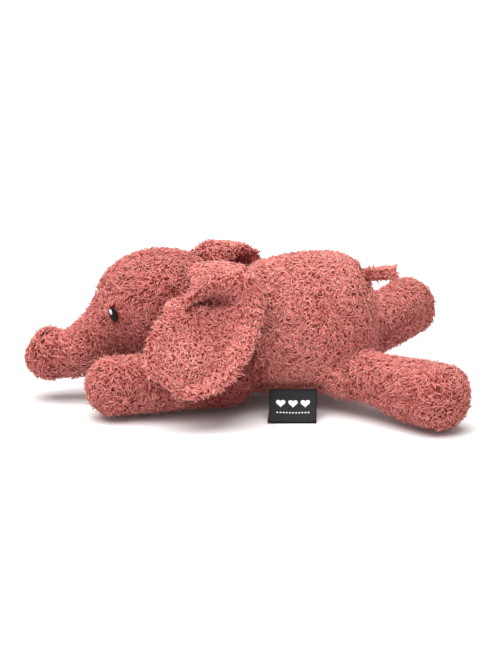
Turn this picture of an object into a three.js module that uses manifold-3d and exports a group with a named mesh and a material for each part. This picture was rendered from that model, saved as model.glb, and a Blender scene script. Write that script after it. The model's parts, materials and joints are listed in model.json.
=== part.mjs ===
// A lying stuffed elephant in curly plush, at its real size. Millimetres, +Z up.
// It rests on its belly on z = 0. Its head points along -X and its left side faces -Y.
import * as THREE from "three";
import { ConvexGeometry } from "three/addons/geometries/ConvexGeometry.js";
import { mergeVertices } from "three/addons/utils/BufferGeometryUtils.js";
import Module from "manifold-3d";

const wasm = await Module();
wasm.setup();

// ---- Driving dimensions -------------------------------------------------------------------

const FABRIC = 5; // pile fabric, backing and curly pile together
const GAP = 0.3; // between two pieces that touch
const SLACK = 0.8; // between the stuffing and the fabric around it
const MOTION_GAP = 0.7; // between a limb and the pocket it turns in
const FAR = 400; // larger than the toy, for cutting planes

const BODY = {
  noseX: -30,
  noseZ: 54,
  chestX: 0,
  chestZ: 47,
  bellyX: 40.5, // where the body is fullest
  rumpX: 87,
  frontRadius: 43,
  chestRadius: 48.5,
  midRadius: 52,
  rearRadius: 49.5,
  noseRound: 30,
  rumpRound: 32,
  width: 0.95, // as a share of its height
  sunk: 1.5, // how much of the round belly is pressed flat on the ground
  seamZ: 18, // where the belly panel meets the side panels
};

const HEAD = { centre: new THREE.Vector3(-59, 0, 68), halfLength: 45, radius: 37, width: 1.03 };
const GUSSET = 22; // width of the strip over the crown

const NECK = new THREE.Vector3(-26, 0, 62);
const NECK_LIFT = 15; // degrees

const TRUNK = {
  pivot: new THREE.Vector3(-89, 0, 55),
  anchor: new THREE.Vector3(-74.5, 0, 67), // its root, inside the head
  rootRadius: 19,
  midRadius: 17.5,
  curlTubeRadius: 16,
  tipRadius: 12.5,
  tipRound: 10,
  tipX: -121, // everything of the tip lies in front of this
  curlCentre: new THREE.Vector3(-115.5, 0, 51.5),
  curlRadius: 21,
  curlDegrees: [-80, -52, -26, -2], // points of the curl, from below it to in front of it
};
const TRUNK_DISC = 5; // depth of the nostril disc that closes the tip
const TRUNK_DROP = -8;
const TRUNK_LIFT = 28;

const EYE = { width: 7, height: 9.8, thick: 1.4, tilt: 20 };
const EYE_DIRECTION = new THREE.Vector3(-29.4, -28.6, -3); // from the head's centre, left side
const HIGHLIGHT = { width: 2.6, height: 3.6, thick: 0.6, up: 2.2 };
const STITCH_EDGE = 0.3; // height of the stitching at its rim, as a share of its full height

// Each leg: pivot at the root, then its heading in the ground plane (0 = along +X, 90 = to the
// left side of the toy), its climb in degrees, the reach from pivot to end and its radii.
const LEGS = {
  front_leg_left: {
    pivot: [-16, -33, 24], heading: 167, climb: -1.6, reach: 94,
    root: 21, shank: 20, foot: 21, swing: [-8, 7],
  },
  front_leg_right: {
    pivot: [-16, 33, 24], heading: -167, climb: -1.6, reach: 94,
    root: 21, shank: 20, foot: 21, swing: [-7, 8],
  },
  hind_leg_left: {
    pivot: [64, -28, 23.2], heading: 44, climb: 0, reach: 98,
    root: 21.5, shank: 20.5, foot: 23, swing: [-18, 18],
  },
  hind_leg_right: {
    pivot: [64, 28, 33], heading: -52, climb: 9, reach: 95,
    root: 21.5, shank: 20.5, foot: 22, swing: [-18, 18],
  },
};
const SOLE_ROUND = 13; // rounding of the blunt end of a leg
const SOLE_DEPTH = 7; // how far the sole panel wraps up the leg
const SOLE_TAPER = 0.97; // radius at the very end, as a share of the foot's

const EAR = {
  layer: 4.6, // thickness of one layer
  cup: 6, // how far the rim stands out of the middle
  rimThinning: 0.45, // share of its thickness that a layer loses at the rim
  // centre line from the root over the fold to the tip, with the half width at each point
  line: [
    [-33, -27, 91, 12],
    [-26, -35, 98, 20],
    [-21, -47, 93, 27],
    [-22, -60, 74, 31],
    [-32, -71, 52, 31],
    [-44, -78, 34, 28],
    [-54, -81, 20, 15],
  ],
};
const EAR_HINGE = new THREE.Vector3(...EAR.line[0].slice(0, 3));

const TAIL = {
  pivot: new THREE.Vector3(74, 0, 85.5), length: 24, width: 14, layer: 4.6, climb: 4, wag: 30,
};

const LABEL = { centreX: 28, width: 31, height: 25, thick: 0.8, topY: -44.2, topZ: 18.2, slope: 44 };

const PLUSH = { color: 0xb96c66, roughness: 0.95, metalness: 0 };
const materials = {
  plush: new THREE.MeshStandardMaterial(PLUSH),
  stuffing: new THREE.MeshStandardMaterial({ color: 0xf2f0ea, roughness: 1, metalness: 0 }),
  thread_black: new THREE.MeshStandardMaterial({ color: 0x0b0b0c, roughness: 0.5, metalness: 0 }),
  thread_white: new THREE.MeshStandardMaterial({ color: 0xf4f4f4, roughness: 0.5, metalness: 0 }),
  satin: new THREE.MeshStandardMaterial({ color: 0x101114, roughness: 0.45, metalness: 0 }),
};

// ---- Solids ---------------------------------------------------------------------------------

// A three.js geometry as a solid, turned right side out.
function solidFrom(geometry) {
  const bare = geometry.clone();
  bare.deleteAttribute("normal");
  bare.deleteAttribute("uv");
  const merged = mergeVertices(bare, 1e-4);
  const corners = [];
  for (let i = 0; i < merged.index.count; i += 3) {
    const [a, b, c] = [0, 1, 2].map((k) => merged.index.getX(i + k));
    if (a !== b && b !== c && c !== a) corners.push([a, b, c]);
  }
  const build = (triangles) => new wasm.Manifold(new wasm.Mesh({
    numProp: 3,
    vertProperties: new Float32Array(merged.attributes.position.array),
    triVerts: new Uint32Array(triangles.flat()),
  }));
  const solid = build(corners);
  return solid.volume() > 0 ? solid : build(corners.map(([a, b, c]) => [a, c, b]));
}

// Everything on the side of a plane that its normal points to.
function halfSpace(point, normal) {
  const box = new THREE.BoxGeometry(FAR, FAR, FAR);
  box.translate(0, 0, FAR / 2);
  box.applyQuaternion(new THREE.Quaternion().setFromUnitVectors(new THREE.Vector3(0, 0, 1), normal));
  box.translate(point.x, point.y, point.z);
  return solidFrom(box);
}

// The largest connected piece, so that a cut leaves no crumbs.
function largest(solid) {
  return solid.decompose().reduce((best, piece) => (piece.volume() > best.volume() ? piece : best));
}

const group = new THREE.Group();

function addPiece(name, solid, material) {
  const { vertProperties, triVerts } = largest(solid).getMesh();
  const geometry = new THREE.BufferGeometry();
  geometry.setAttribute("position", new THREE.BufferAttribute(new Float32Array(vertProperties), 3));
  geometry.setIndex(new THREE.BufferAttribute(new Uint32Array(triVerts), 1));
  geometry.computeVertexNormals();
  const mesh = new THREE.Mesh(geometry, materials[material]);
  mesh.name = name;
  group.add(mesh);
}

// ---- Stuffed forms --------------------------------------------------------------------------

// Profile of a stuffed form: points (radius, distance along the spine), round at both ends.
function roundedProfile({ length, radii, startRound, endRound, domeSteps = 4, midSteps = 5 }) {
  const radiusCurve = new THREE.SplineCurve(
    radii.map((radius, i) => new THREE.Vector2(radius, (length * i) / (radii.length - 1))),
  );
  const radiusAt = (distance) => radiusCurve.getPoint(distance / length).x;
  const points = [];
  for (let i = 0; i < domeSteps; i++) {
    const angle = (Math.PI / 2) * (i / domeSteps);
    const distance = startRound * (1 - Math.cos(angle));
    points.push(new THREE.Vector2(radiusAt(distance) * Math.sin(angle), distance));
  }
  const midLength = length - startRound - endRound;
  for (let i = 0; i <= midSteps; i++) {
    const distance = startRound + (midLength * i) / midSteps;
    points.push(new THREE.Vector2(radiusAt(distance), distance));
    if (midLength < 1) break;
  }
  for (let i = domeSteps - 1; i >= 0; i--) {
    const angle = (Math.PI / 2) * (i / domeSteps);
    const distance = length - endRound * (1 - Math.cos(angle));
    points.push(new THREE.Vector2(radiusAt(distance) * Math.sin(angle), distance));
  }
  return points;
}

// The same profile moved inwards, square to itself.
function insetProfile(points, inset) {
  return points.map((point, i) => {
    if (i === 0) return new THREE.Vector2(0, point.y + inset);
    if (i === points.length - 1) return new THREE.Vector2(0, point.y - inset);
    const along = points[i + 1].clone().sub(points[i - 1]).normalize();
    return new THREE.Vector2(point.x - inset * along.y, point.y + inset * along.x);
  });
}

// A lathe laid along a spine curve. `side` is the direction that `width` stretches.
function stuffedForm(shape, inset = 0) {
  const { spine, side, width = 1, around = 20 } = shape;
  const length = spine.getLength();
  const profile = insetProfile(roundedProfile({ ...shape, length }), inset);
  const geometry = new THREE.LatheGeometry(profile, around);
  const position = geometry.attributes.position;
  for (let i = 0; i < position.count; i++) {
    const distance = position.getY(i);
    const u = THREE.MathUtils.clamp(distance / length, 0, 1);
    const tangent = spine.getTangentAt(u);
    const up = tangent.clone().cross(side).normalize();
    const across = up.clone().cross(tangent);
    const point = spine.getPointAt(u)
      .addScaledVector(tangent, distance - u * length)
      .addScaledVector(across, position.getX(i) * width)
      .addScaledVector(up, position.getZ(i));
    position.setXYZ(i, point.x, point.y, point.z);
  }
  return solidFrom(geometry);
}

const X = new THREE.Vector3(1, 0, 0);
const Y = new THREE.Vector3(0, 1, 0);
const Z = new THREE.Vector3(0, 0, 1);
const DOWN = new THREE.Vector3(0, 0, -1);

const bodyShape = {
  spine: new THREE.CatmullRomCurve3([
    new THREE.Vector3(BODY.noseX, 0, BODY.noseZ),
    new THREE.Vector3(BODY.chestX, 0, BODY.chestZ),
    new THREE.Vector3(BODY.bellyX, 0, BODY.midRadius - BODY.sunk),
    new THREE.Vector3(BODY.rumpX, 0, BODY.rearRadius - BODY.sunk),
  ]),
  side: Y,
  width: BODY.width,
  radii: [BODY.frontRadius, BODY.chestRadius, BODY.midRadius, BODY.rearRadius],
  startRound: BODY.noseRound,
  endRound: BODY.rumpRound,
  around: 22,
};

const headShape = {
  spine: new THREE.LineCurve3(
    HEAD.centre.clone().addScaledVector(X, -HEAD.halfLength),
    HEAD.centre.clone().addScaledVector(X, HEAD.halfLength),
  ),
  side: Y,
  width: HEAD.width,
  radii: [HEAD.radius, HEAD.radius],
  startRound: HEAD.halfLength,
  endRound: HEAD.halfLength,
  domeSteps: 5,
  around: 20,
};

// The trunk leaves the face downwards, runs forwards and curls up at its end.
function trunkSpine() {
  const points = [TRUNK.anchor, TRUNK.pivot];
  for (const degrees of TRUNK.curlDegrees) {
    const angle = THREE.MathUtils.degToRad(degrees);
    points.push(new THREE.Vector3(
      TRUNK.curlCentre.x - TRUNK.curlRadius * Math.cos(angle),
      0,
      TRUNK.curlCentre.z + TRUNK.curlRadius * Math.sin(angle),
    ));
  }
  return new THREE.CatmullRomCurve3(points);
}

const trunkShape = {
  spine: trunkSpine(),
  side: Y,
  radii: [
    TRUNK.rootRadius, TRUNK.rootRadius, TRUNK.midRadius, TRUNK.curlTubeRadius, TRUNK.tipRadius,
  ],
  startRound: TRUNK.rootRadius,
  endRound: TRUNK.tipRound,
  around: 14,
  domeSteps: 3,
  midSteps: 6,
};

function legShape({ pivot, heading, climb, reach, root, shank, foot }) {
  const turn = THREE.MathUtils.degToRad(-heading);
  const pitch = THREE.MathUtils.degToRad(climb);
  const direction = new THREE.Vector3(
    Math.cos(pitch) * Math.cos(turn), Math.cos(pitch) * Math.sin(turn), Math.sin(pitch),
  );
  const origin = new THREE.Vector3(...pivot);
  return {
    origin,
    direction,
    spine: new THREE.LineCurve3(
      origin.clone().addScaledVector(direction, -root),
      origin.clone().addScaledVector(direction, reach),
    ),
    side: Z.clone().cross(direction).normalize(),
    radii: [root, root, shank, foot, foot * SOLE_TAPER],
    startRound: root,
    endRound: SOLE_ROUND,
    around: 14,
    domeSteps: 3,
    midSteps: 3,
  };
}

// ---- Ears -----------------------------------------------------------------------------------

// A cupped sheet between two surfaces, `low` and `high` mm off its middle.
function earSheet(low, high) {
  const line = new THREE.CatmullRomCurve3(EAR.line.map(([x, y, z]) => new THREE.Vector3(x, y, z)));
  const widths = new THREE.SplineCurve(EAR.line.map((row, i) => new THREE.Vector2(i, row[3])));
  const rows = 12;
  const columns = 6;
  const surface = (offset) => {
    const grid = [];
    for (let i = 0; i <= rows; i++) {
      const u = i / rows;
      const tangent = line.getTangent(u);
      const across = X.clone().addScaledVector(tangent, -tangent.x).normalize();
      const out = tangent.clone().cross(across).normalize();
      const centre = line.getPoint(u);
      const halfWidth = widths.getPoint(u).y;
      for (let j = 0; j <= columns; j++) {
        const t = (2 * j) / columns - 1;
        const cup = EAR.cup * Math.sin(Math.PI * u) ** 2 * t * t;
        grid.push(centre.clone()
          .addScaledVector(across, halfWidth * t)
          .addScaledVector(out, -cup + offset * (1 - EAR.rimThinning * t ** 4)));
      }
    }
    return grid;
  };
  return closedSheet(surface(low), surface(high), rows, columns);
}

// Two grids of the same size, skinned on both sides and joined around the edge.
function closedSheet(under, over, rows, columns) {
  const index = [];
  const at = (layer, i, j) => layer * under.length + i * (columns + 1) + j;
  const quad = (a, b, c, d) => index.push(a, b, c, a, c, d);
  for (let i = 0; i < rows; i++) {
    for (let j = 0; j < columns; j++) {
      quad(at(0, i, j), at(0, i, j + 1), at(0, i + 1, j + 1), at(0, i + 1, j));
      quad(at(1, i, j), at(1, i + 1, j), at(1, i + 1, j + 1), at(1, i, j + 1));
    }
    quad(at(0, i, 0), at(0, i + 1, 0), at(1, i + 1, 0), at(1, i, 0));
    quad(at(0, i, columns), at(1, i, columns), at(1, i + 1, columns), at(0, i + 1, columns));
  }
  for (let j = 0; j < columns; j++) {
    quad(at(0, 0, j), at(1, 0, j), at(1, 0, j + 1), at(0, 0, j + 1));
    quad(at(0, rows, j), at(0, rows, j + 1), at(1, rows, j + 1), at(1, rows, j));
  }
  const geometry = new THREE.BufferGeometry();
  geometry.setAttribute("position", new THREE.BufferAttribute(
    new Float32Array([...under, ...over].flatMap((point) => point.toArray())), 3,
  ));
  geometry.setIndex(index);
  return solidFrom(geometry);
}

const mirrored = (solid) => solid.mirror([0, 1, 0]);

// ---- Pockets: the room that each moving piece needs in its neighbours -------------------------

// The hull of a form, a little larger than it is, at both ends and the middle of its turn.
function roomToTurn(points, pivot, axis, from, to) {
  const turnedPoints = [from, (from + to) / 2, to].flatMap((degrees) => {
    const turn = new THREE.Quaternion().setFromAxisAngle(axis, THREE.MathUtils.degToRad(degrees));
    return points.map((point) => point.clone().sub(pivot).applyQuaternion(turn).add(pivot));
  });
  return solidFrom(new ConvexGeometry(turnedPoints));
}

function cornersOf(solid) {
  const { vertProperties } = solid.getMesh();
  const corners = [];
  for (let i = 0; i < vertProperties.length; i += 3) {
    corners.push(new THREE.Vector3().fromArray(vertProperties, i));
  }
  return corners;
}

const headRoom = roomToTurn(cornersOf(stuffedForm(headShape, -MOTION_GAP)), NECK, Y, 0, NECK_LIFT);

const trunkRoot = {
  ...trunkShape,
  spine: new THREE.LineCurve3(trunkShape.spine.getPointAt(0), trunkShape.spine.getPointAt(0.5)),
  radii: [TRUNK.rootRadius, TRUNK.rootRadius],
};
const trunkRoom = roomToTurn(
  cornersOf(stuffedForm(trunkRoot, -3 * MOTION_GAP)), TRUNK.pivot, Y, TRUNK_DROP, TRUNK_LIFT,
);

const legRooms = Object.values(LEGS).map((leg) => {
  const shape = legShape(leg);
  return roomToTurn(cornersOf(stuffedForm(shape, -MOTION_GAP)), shape.origin, Z, ...leg.swing);
});

// The ear's root lies in a round groove along its hinge line.
function earGroove() {
  const rootWidth = 2 * (EAR.line[0][3] + MOTION_GAP);
  const groove = new THREE.CylinderGeometry(EAR.layer + MOTION_GAP, EAR.layer + MOTION_GAP, rootWidth, 16);
  groove.rotateZ(Math.PI / 2);
  groove.translate(EAR_HINGE.x, EAR_HINGE.y, EAR_HINGE.z);
  return solidFrom(groove);
}
const earRoom = earGroove();

function tailSolid(low, high, grow = 0) {
  const box = new THREE.BoxGeometry(TAIL.length + 2 * grow, TAIL.width + 2 * grow, high - low);
  box.translate(TAIL.length / 2, 0, (low + high) / 2);
  box.rotateY(-THREE.MathUtils.degToRad(TAIL.climb));
  box.translate(TAIL.pivot.x, TAIL.pivot.y, TAIL.pivot.z);
  return solidFrom(box);
}
const tailRoom = roomToTurn(
  cornersOf(tailSolid(-TAIL.layer - MOTION_GAP, TAIL.layer + MOTION_GAP, MOTION_GAP)),
  TAIL.pivot, Z, -TAIL.wag, TAIL.wag,
);

const without = (solid, rooms) => rooms.reduce((rest, room) => rest.subtract(room), solid);

// ---- Pieces ---------------------------------------------------------------------------------

function addBody() {
  const rooms = [headRoom, ...legRooms, tailRoom];
  const above = (z) => halfSpace(new THREE.Vector3(0, 0, z), Z);
  const below = (z) => halfSpace(new THREE.Vector3(0, 0, z), DOWN);
  const outer = stuffedForm(bodyShape).intersect(above(0));
  const hollow = stuffedForm(bodyShape, FABRIC).intersect(above(FABRIC));
  const skin = without(outer.subtract(hollow), rooms);
  const sides = skin.intersect(above(BODY.seamZ + GAP / 2));
  const leftOf = halfSpace(new THREE.Vector3(0, -GAP / 2, 0), Y.clone().negate());
  addPiece("body_panel_left", sides.intersect(leftOf), "plush");
  addPiece("body_panel_right", sides.intersect(mirrored(leftOf)), "plush");
  addPiece("belly_panel", skin.intersect(below(BODY.seamZ - GAP / 2)), "plush");
  const filling = stuffedForm(bodyShape, FABRIC + SLACK).intersect(above(FABRIC + SLACK));
  addPiece("body_stuffing", without(filling, rooms), "stuffing");
}

function addHead() {
  const rooms = [trunkRoom, earRoom, mirrored(earRoom)];
  const skin = without(stuffedForm(headShape).subtract(stuffedForm(headShape, FABRIC)), rooms);
  const beyond = halfSpace(new THREE.Vector3(0, -(GUSSET + GAP) / 2, 0), Y.clone().negate());
  const within = halfSpace(new THREE.Vector3(0, -(GUSSET - GAP) / 2, 0), Y);
  const strip = skin.intersect(within).intersect(mirrored(within));
  addPiece("head_panel_left", skin.intersect(beyond), "plush");
  addPiece("head_panel_right", skin.intersect(mirrored(beyond)), "plush");
  const seam = new THREE.Vector3(0, 0, HEAD.centre.z);
  addPiece("head_gusset", strip.intersect(halfSpace(seam.clone().setZ(seam.z + GAP / 2), Z)), "plush");
  addPiece("chin_panel", strip.intersect(halfSpace(seam.clone().setZ(seam.z - GAP / 2), DOWN)), "plush");
  addPiece("head_stuffing", without(stuffedForm(headShape, FABRIC + SLACK), rooms), "stuffing");
}

// A tube of fabric: two panels sewn along a flat plane, an end disc, and the stuffing inside.
function addTube(shape, { panels, plane, disc, discDepth, discSide, stuffing }) {
  const skin = stuffedForm(shape).subtract(stuffedForm(shape, FABRIC));
  const endTangent = shape.spine.getTangentAt(1);
  const cutAt = (back) => shape.spine.getPointAt(1).addScaledVector(endTangent, -back);
  const beyond = (depth) => halfSpace(cutAt(depth), endTangent).intersect(discSide);
  addPiece(disc, skin.intersect(beyond(discDepth - GAP / 2)), "plush");
  const tube = skin.subtract(beyond(discDepth + GAP / 2));
  [plane, plane.clone().negate()].forEach((normal, i) => {
    const seam = shape.spine.getPointAt(0).addScaledVector(normal, GAP / 2);
    addPiece(panels[i], tube.intersect(halfSpace(seam, normal)), "plush");
  });
  addPiece(stuffing, stuffedForm(shape, FABRIC + SLACK), "stuffing");
}

function addTrunk() {
  addTube(trunkShape, {
    panels: ["trunk_panel_right", "trunk_panel_left"],
    plane: Y,
    disc: "trunk_nostril_disc",
    discDepth: TRUNK_DISC,
    discSide: halfSpace(new THREE.Vector3(TRUNK.tipX, 0, 0), X.clone().negate()),
    stuffing: "trunk_stuffing",
  });
}

function addLegs() {
  for (const [name, leg] of Object.entries(LEGS)) {
    const shape = legShape(leg);
    addTube(shape, {
      panels: [`${name}_upper_panel`, `${name}_under_panel`],
      plane: shape.direction.clone().cross(shape.side),
      disc: `${name}_sole`,
      discDepth: SOLE_DEPTH,
      discSide: halfSpace(shape.origin, shape.direction),
      stuffing: `${name}_stuffing`,
    });
  }
}

function addEars() {
  const outer = earSheet(GAP, EAR.layer);
  const lining = earSheet(-EAR.layer, -GAP);
  addPiece("ear_left_outer", outer, "plush");
  addPiece("ear_left_lining", lining, "plush");
  addPiece("ear_right_outer", mirrored(outer), "plush");
  addPiece("ear_right_lining", mirrored(lining), "plush");
}

function addTail() {
  addPiece("tail_upper", tailSolid(GAP / 2, TAIL.layer), "plush");
  addPiece("tail_under", tailSolid(-TAIL.layer, -GAP / 2), "plush");
}

// A low oval dome of satin stitches, standing on the pile and facing out of the head.
function stitchedOval({ width, height, thick }, direction, lift, up) {
  const steps = 5;
  const profile = [new THREE.Vector2(0, 0)];
  for (let i = 0; i <= steps; i++) {
    const angle = (Math.PI / 2) * (i / steps);
    const rise = thick * (STITCH_EDGE + (1 - STITCH_EDGE) * Math.sin(angle));
    profile.push(new THREE.Vector2(Math.cos(angle) / 2, rise));
  }
  profile[profile.length - 1].x = 0;
  const geometry = new THREE.LatheGeometry(profile, 16);
  geometry.scale(width, 1, height);
  geometry.rotateX(Math.PI / 2);
  geometry.translate(0, up, lift);
  const scale = headSurfaceScale(direction);
  const surface = HEAD.centre.clone().addScaledVector(direction, scale);
  const normal = headNormal(direction.clone().multiplyScalar(scale));
  geometry.applyMatrix4(facing(surface, normal, EYE.tilt));
  return solidFrom(geometry);
}

// How far along a direction from the head's centre its surface lies, as a multiple.
function headSurfaceScale({ x, y, z }) {
  return 1 / Math.hypot(x / HEAD.halfLength, y / (HEAD.radius * HEAD.width), z / HEAD.radius);
}

function headNormal({ x, y, z }) {
  return new THREE.Vector3(
    x / HEAD.halfLength ** 2, y / (HEAD.radius * HEAD.width) ** 2, z / HEAD.radius ** 2,
  ).normalize();
}

// A frame with its third axis along the normal and its second upright, then tilted about the normal.
function facing(point, normal, tiltDegrees) {
  const across = Z.clone().cross(normal).normalize();
  const upright = normal.clone().cross(across);
  return new THREE.Matrix4().makeBasis(across, upright, normal).setPosition(point)
    .multiply(new THREE.Matrix4().makeRotationZ(THREE.MathUtils.degToRad(tiltDegrees)));
}

function addEyes() {
  const eye = stitchedOval(EYE, EYE_DIRECTION, GAP, 0);
  const glint = stitchedOval(HIGHLIGHT, EYE_DIRECTION, EYE.thick + 2 * GAP, HIGHLIGHT.up);
  addPiece("eye_left", eye, "thread_black");
  addPiece("eye_left_highlight", glint, "thread_white");
  addPiece("eye_right", mirrored(eye), "thread_black");
  addPiece("eye_right_highlight", mirrored(glint), "thread_white");
}

// The folded satin label hangs from the seam and leans out to the ground.
function addLabel() {
  const box = new THREE.BoxGeometry(LABEL.width, LABEL.thick, LABEL.height);
  box.translate(0, 0, -LABEL.height / 2);
  box.rotateX(-THREE.MathUtils.degToRad(LABEL.slope));
  box.translate(LABEL.centreX, LABEL.topY, LABEL.topZ);
  addPiece("woven_label", solidFrom(box), "satin");
}

addBody();
addHead();
addTrunk();
addEyes();
addEars();
addLegs();
addTail();
addLabel();

// The origin is under the middle of the toy's box, on the ground.
const box = new THREE.Box3().setFromObject(group);
const middle = box.getCenter(new THREE.Vector3());
group.position.set(-middle.x, -middle.y, -box.min.z);

export default group;
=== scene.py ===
import json
import math

import bmesh
import bpy
import numpy as np
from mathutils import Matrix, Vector
from mathutils.bvhtree import BVHTree
from mathutils.kdtree import KDTree


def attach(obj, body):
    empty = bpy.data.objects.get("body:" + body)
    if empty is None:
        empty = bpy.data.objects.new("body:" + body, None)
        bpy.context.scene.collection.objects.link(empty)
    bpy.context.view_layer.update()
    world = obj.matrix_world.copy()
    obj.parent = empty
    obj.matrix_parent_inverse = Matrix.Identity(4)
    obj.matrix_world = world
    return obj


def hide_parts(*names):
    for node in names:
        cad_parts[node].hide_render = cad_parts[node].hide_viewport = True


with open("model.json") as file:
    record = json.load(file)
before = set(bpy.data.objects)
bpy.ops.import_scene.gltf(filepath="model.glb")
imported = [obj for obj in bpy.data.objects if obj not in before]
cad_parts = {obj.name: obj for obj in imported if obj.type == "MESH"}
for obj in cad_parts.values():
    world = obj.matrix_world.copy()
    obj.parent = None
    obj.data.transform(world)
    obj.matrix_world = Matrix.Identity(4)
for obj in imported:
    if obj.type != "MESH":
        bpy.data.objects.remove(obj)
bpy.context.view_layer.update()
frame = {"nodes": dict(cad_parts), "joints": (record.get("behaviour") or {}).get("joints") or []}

MM = 0.001

# ---- Driving values -----------------------------------------------------------------------------

SEED = 7
VOXEL = 3 * MM                # the grain at which solids are melted into one skin
THIN_VOXEL = 1.6 * MM         # the same for the ears and the tail
SMOOTHING = 8                 # rounds of smoothing after that
THIN_SMOOTHING = 5
BACKING_DEPTH = 3.9 * MM      # how far the knitted backing lies under the CAD surface
THIN_DEPTH = 3.0 * MM
THIN_SHARE = 0.33             # away from seams and tucks, no skin is drawn in by more than this
                              # part of its thickness
THIN_PILE = 0.82              # length of the pile on the ears and the tail, as a share
SEAM_DEPTH = 1.6 * MM         # how much deeper the backing is drawn in along a seam
SEAM_WIDTH = 3.2 * MM
SWELL = 1.2 * MM              # how far the stuffing may push a panel out between its seams
CLOTH_PRESSURE = 4
CLOTH_FRAMES = 20
TUCK = 6.0 * MM               # how far the flanks of the body are drawn in near the ground
TUCK_HEIGHT = 26 * MM
TUCK_FADE = (70 * MM, 105 * MM)     # this fades out between these places along the hind legs
HIDDEN_DEPTH = 6 * MM         # no pile grows this far inside a neighbour

# "area" is the patch of backing for each strand; "rise" and "curl" are shares of its length.
TUFT = {
    "length": 5.8 * MM, "width": 1.6 * MM, "segments": 5, "sides": 3,
    "area": 1.6 * MM * MM, "rise": 0.50, "curl": 0.24, "taper": 2.6,
}
FIBRE = {
    "length": 6.4 * MM, "width": 0.6 * MM, "segments": 3, "sides": 3,
    "area": 5.5 * MM * MM, "rise": 0.72, "curl": 0.16, "taper": 1.5,
}
PRESSED_HEIGHT = 9 * MM       # pile closer to the ground than this is pressed down
FLOOR_CLEARANCE = 0.3 * MM
EYE_BED = 0.5 * MM            # how far the backing lies under the CAD surface at an eye
EYE_BED_REACH = (4.5 * MM, 10 * MM)     # within the first it does, beyond the second not at all
EYE_COMB = 8 * MM             # the pile is combed away from the eyes over this distance
SWEEP = 47 * MM               # wavelength of the wide sweeps in the lie of the pile
LIE_PATCH = 9 * MM            # and of its small patches
TINT_PATCH = 11 * MM          # wavelength of the slightly lighter and darker patches

# Pile colours from the backing to the tips, darker at the root as painted shade deep in the pile, and
# where along a strand each but the last one ends.
PILE_BANDS = [
    (0.50, 0.110, 0.090), (0.60, 0.160, 0.135), (0.72, 0.245, 0.215), (0.87, 0.395, 0.355),
]
BAND_TOPS = [0.25, 0.55, 0.85]
# How bright each tint of the pile is. USUAL_TINTS and the painted light and shade values below count
# steps in this list.
TINTS = [0.56, 0.74, 0.92, 1.0, 1.08, 1.2, 1.32]
PALLOR = 1.7                  # light pile is paler and dark pile redder, by this power of the tint; this also gives painted light and shade their hue
USUAL_TINTS = (2, 5)          # open pile runs from the first of these up to the second
PAINTED_TOP_LIGHT = 1.5                # painted light: the pile that faces up is this many tints lighter
PAINTED_LIMB_SHADE = -1.1              # and painted shade makes that of the limbs, the trunk and the head darker
EAR_PAINTED_LIGHT_STEP = 4.5 * MM          # painted light and shade: standing out this much makes the ear's pile one tint lighter
EAR_PAINTED_LIGHT_LIMITS = (-2.8, 0.6)
PAINTED_SHADE_NEAR = 3 * MM         # distance to a neighbour at which the painted crevice shade is darkest
PAINTED_SHADE_FAR = 17 * MM         # and at which the pile is as light as elsewhere
PAINTED_CREVICE_SHADE = 3.0           # how many tints darker the painted shade makes it

JOINTS = {joint["name"]: joint for joint in frame["joints"]}


def pivot_of(joint_name):
    return np.array(JOINTS[joint_name]["pos_m"])


def new_object(name, mesh):
    piece = bpy.data.objects.new(name, mesh)
    bpy.context.scene.collection.objects.link(piece)
    return piece


def unit(vectors):
    return vectors / np.maximum(np.linalg.norm(vectors, axis=-1, keepdims=True), 1e-9)


def smooth_step(low, high, values):
    x = np.clip((values - low) / (high - low), 0, 1)
    return x * x * (3 - 2 * x)


def bump(values, centre, width):
    return np.exp(-(((values - centre) / width) ** 2))


def turns(count):
    """Angles evenly round a circle."""
    return [2 * math.pi * k / count for k in range(count)]


# ---- Mesh reading --------------------------------------------------------------------------------

def vertex_points(mesh):
    points = np.empty(len(mesh.vertices) * 3)
    mesh.vertices.foreach_get("co", points)
    return points.reshape(-1, 3)


def vertex_normals(mesh):
    normals = np.empty(len(mesh.vertices) * 3)
    mesh.vertices.foreach_get("normal", normals)
    return normals.reshape(-1, 3)


def move_points(mesh, points):
    mesh.vertices.foreach_set("co", points.ravel())
    mesh.update()


def triangles_of(mesh):
    mesh.calc_loop_triangles()
    corners = np.empty(len(mesh.loop_triangles) * 3, int)
    mesh.loop_triangles.foreach_get("vertices", corners)
    return corners.reshape(-1, 3)


def tree_of(mesh):
    return BVHTree.FromPolygons(vertex_points(mesh).tolist(), triangles_of(mesh).tolist())


def distances(tree, points):
    return np.array([tree.find_nearest(point)[3] for point in points])


class ClosedSkin:
    """A body's closed skin, which can say how far points lie from it or inside it."""

    def __init__(self, body, mesh, thin):
        points = vertex_points(mesh)
        self.body = body
        self.thin = thin
        self.tree = tree_of(mesh)
        self.low = points.min(axis=0)
        self.high = points.max(axis=0)

    def distance(self, points, reach):
        """How far each point is from the skin, or reach where it is further away."""
        far = np.full(len(points), reach)
        near = ((points > self.low - reach) & (points < self.high + reach)).all(axis=1)
        for i in np.nonzero(near)[0]:
            far[i] = min(reach, self.tree.find_nearest(points[i])[3])
        return far

    def depth(self, points):
        """How deep each point lies inside the skin, or 0 outside it."""
        depths = np.zeros(len(points))
        within = ((points > self.low) & (points < self.high)).all(axis=1)
        for i in np.nonzero(within)[0]:
            nearest, normal, _, distance = self.tree.find_nearest(points[i])
            if (Vector(points[i]) - nearest).dot(normal) < 0:
                depths[i] = distance
        return depths


def thickness_at(mesh):
    """How thick the form is under each of its points, straight through."""
    tree = tree_of(mesh)
    through = np.empty(len(mesh.vertices))
    for i, (point, normal) in enumerate(zip(vertex_points(mesh), vertex_normals(mesh))):
        hit = tree.ray_cast(point - normal * 0.1 * MM, -normal)[3]
        through[i] = 100 * MM if hit is None else hit
    return through


# ---- Backings: one smooth closed skin for each body ----------------------------------------------

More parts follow.
